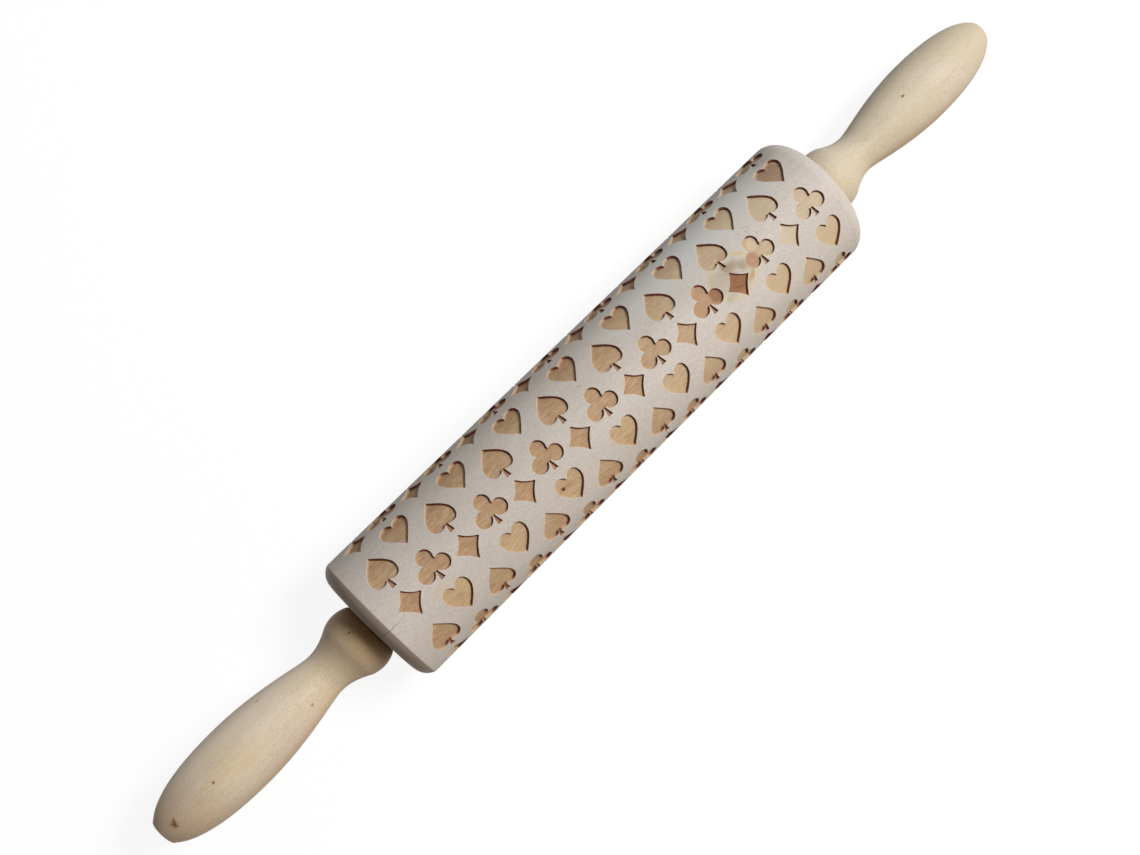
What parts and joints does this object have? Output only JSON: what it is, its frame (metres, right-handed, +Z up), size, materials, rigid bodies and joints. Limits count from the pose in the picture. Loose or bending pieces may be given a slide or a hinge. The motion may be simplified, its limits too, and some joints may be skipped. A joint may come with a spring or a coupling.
{
  "type": "rolling pin",
  "caption": "Wooden rolling pin with a free-turning barrel engraved all round with card suits, and two turned handles on a hidden axle.",
  "frame": {"origin": "under the middle of the barrel, on the surface that the pin lies on", "axes": "+X along the pin to the right handle's tip, +Y across it, +Z up"},
  "size_m": [0.4302, 0.054, 0.054],
  "materials": {
    "barrel_wood": "smooth sanded beech, bare, with lightly scorched tan recesses",
    "handle_wood": "smooth turned hardwood, bare",
    "axle_wood": "plain dowel, bare",
    "bush_nylon": "natural nylon, satin"
  },
  "bodies": {
    "handle_set": {"axle": "axle_wood", "left_handle": "handle_wood", "right_handle": "handle_wood"},
    "barrel": {"barrel": "barrel_wood", "left_bush": "bush_nylon", "right_bush": "bush_nylon"}
  },
  "joints": [
    {"name": "barrel_spin", "type": "hinge", "parent": "handle_set", "child": "barrel", "pos_m": [0, 0, 0.027], "axis": [1, 0, 0], "continuous": true}
  ]
}
